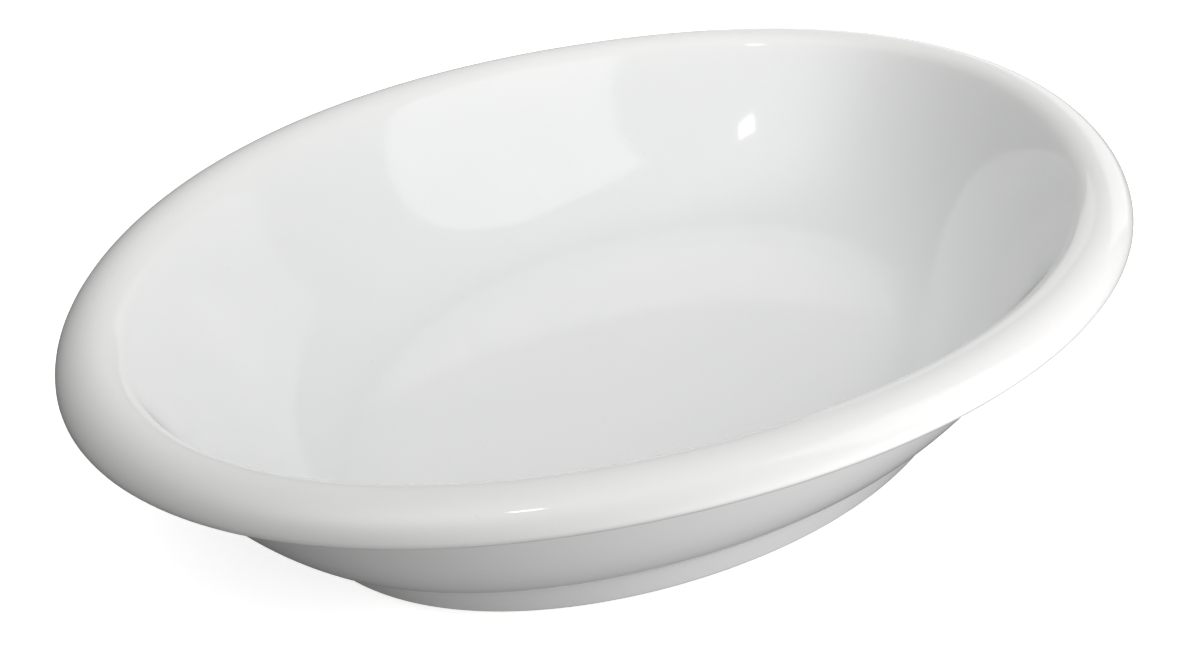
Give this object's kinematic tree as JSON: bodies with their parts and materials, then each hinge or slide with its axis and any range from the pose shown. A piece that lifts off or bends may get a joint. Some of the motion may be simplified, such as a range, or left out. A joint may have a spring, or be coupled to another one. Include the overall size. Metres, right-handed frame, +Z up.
{
  "type": "bedpan",
  "caption": "Open oval dish of white glazed ceramic with a heavy rolled rim and a low foot ring, for use as a bedpan or ward basin.",
  "frame": {"origin": "on the table, under the middle of the dish", "axes": "+X along the dish's length, +Y across it, +Z up out of the open top"},
  "size_m": [0.38, 0.264, 0.0645],
  "materials": {
    "clay": "matte",
    "glaze": "polished"
  },
  "bodies": {
    "root": {"pan_body": "clay", "glaze_coat": "glaze", "base_glaze": "glaze"}
  },
  "joints": []
}
